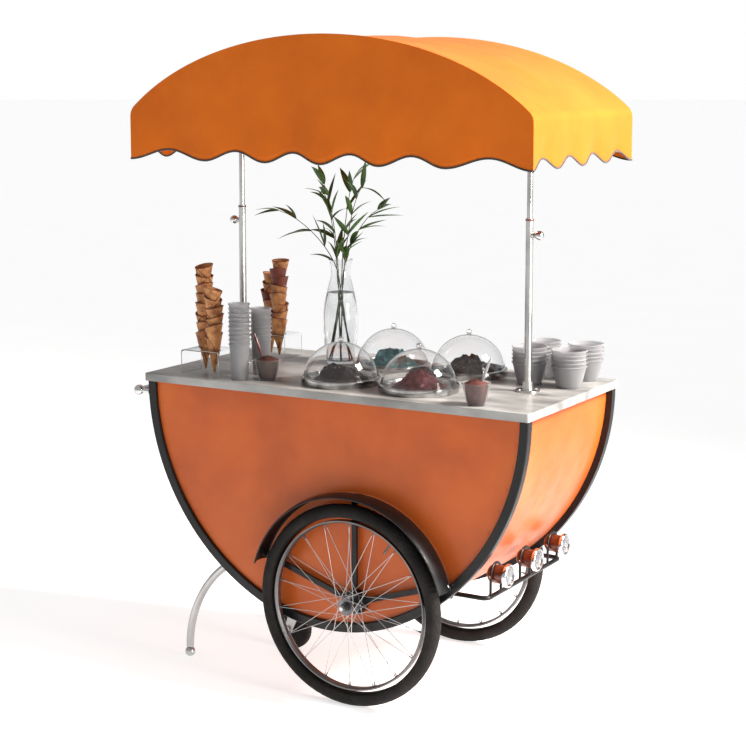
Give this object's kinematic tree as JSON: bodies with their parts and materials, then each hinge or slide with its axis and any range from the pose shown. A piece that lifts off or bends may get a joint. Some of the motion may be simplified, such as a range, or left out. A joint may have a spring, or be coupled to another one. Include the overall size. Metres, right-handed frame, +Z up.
{
  "type": "push vending cart",
  "caption": "Boat-shaped push vending cart with two spoked wheels, a tail caster, an arched fabric canopy on telescoping poles and a dressed serving counter.",
  "frame": {"origin": "on the ground under the middle of the cart's box", "axes": "+X from the push handle to the lamps, +Y to the vendor's side, +Z up"},
  "size_m": [1.3789, 0.777, 1.942],
  "materials": {
    "counter_stone": "brushed pale grey slab with a bright edge",
    "black_paint": "satin black paint",
    "orange_paint": "satin orange paint, faintly mottled",
    "grey_steel": "plain grey steel",
    "chrome": "polished chrome",
    "stainless": "brushed stainless tube",
    "tyre_rubber": "black tyre rubber with fine tread",
    "caster_rubber": "black rubber roller",
    "copper_brown": "copper brown lacquer",
    "lamp_glass": "silver ring and clear lens",
    "canopy_fabric": "orange canvas with black piping",
    "clear_dome": "clear acrylic",
    "gelato_mix": "frozen dessert: dark chocolate, berry and mint",
    "wafer": "baked wafer, golden brown",
    "frosted_cup": "frosted translucent plastic"
  },
  "bodies": {
    "cart": {"axle": "grey_steel", "axle_nuts": "grey_steel", "caster_post": "grey_steel", "cone_holders": "clear_dome", "cone_stacks": "wafer", "counter_top": "counter_stone", "cup_stacks": "frosted_cup", "door_pins": "grey_steel", "fender_stays": "black_paint", "filled_cups": "frosted_cup", "gelato": "gelato_mix", "lamp_hoops": "black_paint", "lamp_rack": "black_paint", "left_fender": "black_paint", "left_panel": "orange_paint", "left_rim": "black_paint", "lower_poles": "stainless", "panel_ledges": "grey_steel", "panel_screws": "orange_paint", "pole_flanges": "chrome", "push_handle": "chrome", "right_fender": "black_paint", "right_panel": "orange_paint", "right_rim": "black_paint", "serving_trays": "stainless", "stand_blocks": "grey_steel", "storage_floor": "grey_steel", "top_frame": "grey_steel", "vase": "clear_dome", "wrap_sheet": "orange_paint"},
    "right_wheel": {"right_tyre": "tyre_rubber", "right_wheel_rim": "chrome", "right_spokes": "chrome", "right_hub": "chrome"},
    "left_wheel": {"left_tyre": "tyre_rubber", "left_wheel_rim": "chrome", "left_spokes": "chrome", "left_hub": "chrome"},
    "nose_door": {"nose_door": "orange_paint"},
    "tail_door": {"tail_door": "orange_paint"},
    "stand": {"stand_frame": "stainless", "stand_feet": "stainless"},
    "caster_swivel": {"caster_fork": "grey_steel", "caster_axle": "grey_steel"},
    "caster_roller": {"caster_wheel": "caster_rubber"},
    "lamp_right": {"lamp_right_housing": "copper_brown", "lamp_right_front": "lamp_glass"},
    "lamp_middle": {"lamp_middle_housing": "copper_brown", "lamp_middle_front": "lamp_glass"},
    "lamp_left": {"lamp_left_housing": "copper_brown", "lamp_left_front": "lamp_glass"},
    "nose_knob": {"nose_clamp_knob": "chrome"},
    "tail_knob": {"tail_clamp_knob": "chrome"},
    "canopy": {"upper_poles": "stainless", "canopy_frame": "stainless", "canopy_cover": "canopy_fabric"},
    "lid_1": {"dome_lid_1": "clear_dome"},
    "lid_2": {"dome_lid_2": "clear_dome"},
    "lid_3": {"dome_lid_3": "clear_dome"},
    "lid_4": {"dome_lid_4": "clear_dome"}
  },
  "joints": [
    {"name": "right_wheel_spin", "type": "hinge", "parent": "cart", "child": "right_wheel", "pos_m": [0.1185, -0.341, 0.3], "axis": [0, 1, 0], "continuous": true},
    {"name": "left_wheel_spin", "type": "hinge", "parent": "cart", "child": "left_wheel", "pos_m": [0.1185, 0.341, 0.3], "axis": [0, 1, 0], "continuous": true},
    {"name": "nose_door_hinge", "type": "hinge", "parent": "cart", "child": "nose_door", "pos_m": [0.4275, 0.2977, 0.761], "axis": [0, 0, -1], "range_deg": [0, 105]},
    {"name": "tail_door_hinge", "type": "hinge", "parent": "cart", "child": "tail_door", "pos_m": [-0.3885, 0.2977, 0.761], "axis": [0, 0, 1], "range_deg": [0, 105]},
    {"name": "stand_fold", "type": "hinge", "parent": "cart", "child": "stand", "pos_m": [-0.35811, 0, 0.33871], "axis": [0, 1, 0], "range_deg": [0, 50]},
    {"name": "caster_swivel", "type": "hinge", "parent": "cart", "child": "caster_swivel", "pos_m": [-0.2705, 0, 0.16], "axis": [0, 0, 1], "continuous": true},
    {"name": "caster_roll", "type": "hinge", "parent": "caster_swivel", "child": "caster_roller", "pos_m": [-0.3045, 0, 0.07], "axis": [0, 1, 0], "continuous": true},
    {"name": "lamp_right_tilt", "type": "hinge", "parent": "cart", "child": "lamp_right", "pos_m": [0.5175, -0.192, 0.415], "axis": [0, 1, 0], "range_deg": [-20, 20]},
    {"name": "lamp_middle_tilt", "type": "hinge", "parent": "cart", "child": "lamp_middle", "pos_m": [0.5175, 0, 0.415], "axis": [0, 1, 0], "range_deg": [-20, 20]},
    {"name": "lamp_left_tilt", "type": "hinge", "parent": "cart", "child": "lamp_left", "pos_m": [0.5175, 0.192, 0.415], "axis": [0, 1, 0], "range_deg": [-20, 20]},
    {"name": "nose_clamp_turn", "type": "hinge", "parent": "cart", "child": "nose_knob", "pos_m": [0.5495, 0, 1.37], "axis": [1, 0, 0], "range_deg": [0, 360]},
    {"name": "tail_clamp_turn", "type": "hinge", "parent": "cart", "child": "tail_knob", "pos_m": [-0.5105, 0, 1.37], "axis": [-1, 0, 0], "range_deg": [0, 360]},
    {"name": "canopy_height", "type": "slide", "parent": "cart", "child": "canopy", "axis": [0, 0, 1], "range_m": [-0.3, 0.06]},
    {"name": "lid_1_lift", "type": "slide", "parent": "cart", "child": "lid_1", "axis": [0, 0, 1], "range_m": [0, 0.15]},
    {"name": "lid_2_lift", "type": "slide", "parent": "cart", "child": "lid_2", "axis": [0, 0, 1], "range_m": [0, 0.15]},
    {"name": "lid_3_lift", "type": "slide", "parent": "cart", "child": "lid_3", "axis": [0, 0, 1], "range_m": [0, 0.15]},
    {"name": "lid_4_lift", "type": "slide", "parent": "cart", "child": "lid_4", "axis": [0, 0, 1], "range_m": [0, 0.15]}
  ]
}
